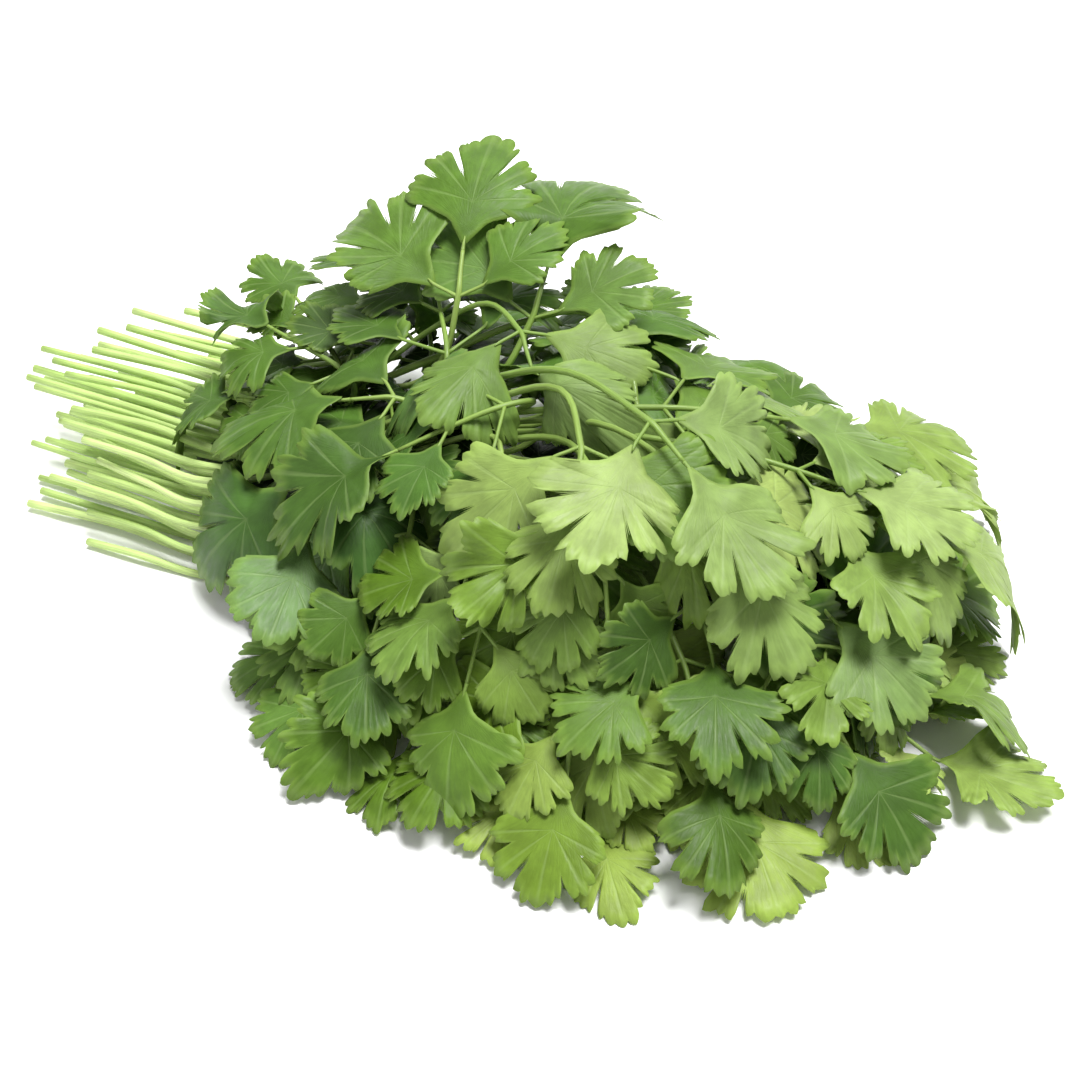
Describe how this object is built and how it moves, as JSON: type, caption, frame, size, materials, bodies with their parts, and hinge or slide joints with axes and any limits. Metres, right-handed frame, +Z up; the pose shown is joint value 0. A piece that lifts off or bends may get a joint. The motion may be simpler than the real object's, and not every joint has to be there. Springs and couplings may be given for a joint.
{
  "type": "coriander bunch",
  "caption": "Fresh cut coriander lying loose in a bunch: thin stalks side by side at one end, lobed leaves spread in a mound at the other.",
  "frame": {"origin": "on the surface that the bunch lies on, under the middle of its box", "axes": "+X along the bunch from the cut ends of the stalks to the leaf tips, +Y to the left of that, +Z up from the surface"},
  "size_m": [0.3448, 0.2234, 0.1027],
  "materials": {
    "grown_leaf": "matte mid-green herb leaf with a pale green stalk",
    "old_leaf": "matte dark, slightly bluish herb leaf with a pale green stalk",
    "young_leaf": "matte bright yellow-green herb leaf with a pale green stalk"
  },
  "bodies": {
    "root": {"sprig_01": "old_leaf", "sprig_02": "young_leaf", "sprig_03": "grown_leaf", "sprig_04": "old_leaf", "sprig_05": "young_leaf", "sprig_06": "grown_leaf", "sprig_07": "old_leaf", "sprig_08": "young_leaf", "sprig_09": "grown_leaf", "sprig_10": "old_leaf", "sprig_11": "young_leaf", "sprig_12": "grown_leaf", "sprig_13": "old_leaf", "sprig_14": "young_leaf", "sprig_15": "grown_leaf", "sprig_16": "old_leaf", "sprig_17": "young_leaf", "sprig_18": "grown_leaf", "sprig_19": "old_leaf", "sprig_20": "young_leaf", "sprig_21": "grown_leaf", "sprig_22": "old_leaf", "sprig_23": "young_leaf", "sprig_24": "grown_leaf", "sprig_25": "old_leaf", "sprig_26": "young_leaf", "sprig_27": "grown_leaf", "sprig_28": "old_leaf", "sprig_29": "young_leaf", "sprig_30": "grown_leaf", "sprig_31": "old_leaf", "sprig_32": "young_leaf", "sprig_33": "grown_leaf", "sprig_34": "old_leaf", "sprig_35": "young_leaf", "sprig_36": "grown_leaf", "sprig_37": "old_leaf", "sprig_38": "young_leaf", "sprig_39": "grown_leaf", "sprig_40": "old_leaf", "sprig_41": "young_leaf", "sprig_42": "grown_leaf", "sprig_43": "old_leaf", "sprig_44": "young_leaf", "sprig_45": "grown_leaf", "sprig_46": "old_leaf", "sprig_47": "young_leaf", "sprig_48": "grown_leaf", "sprig_49": "old_leaf", "sprig_50": "young_leaf", "sprig_51": "grown_leaf", "sprig_52": "old_leaf", "sprig_53": "young_leaf", "sprig_54": "grown_leaf", "sprig_55": "old_leaf", "sprig_56": "young_leaf"}
  },
  "joints": []
}
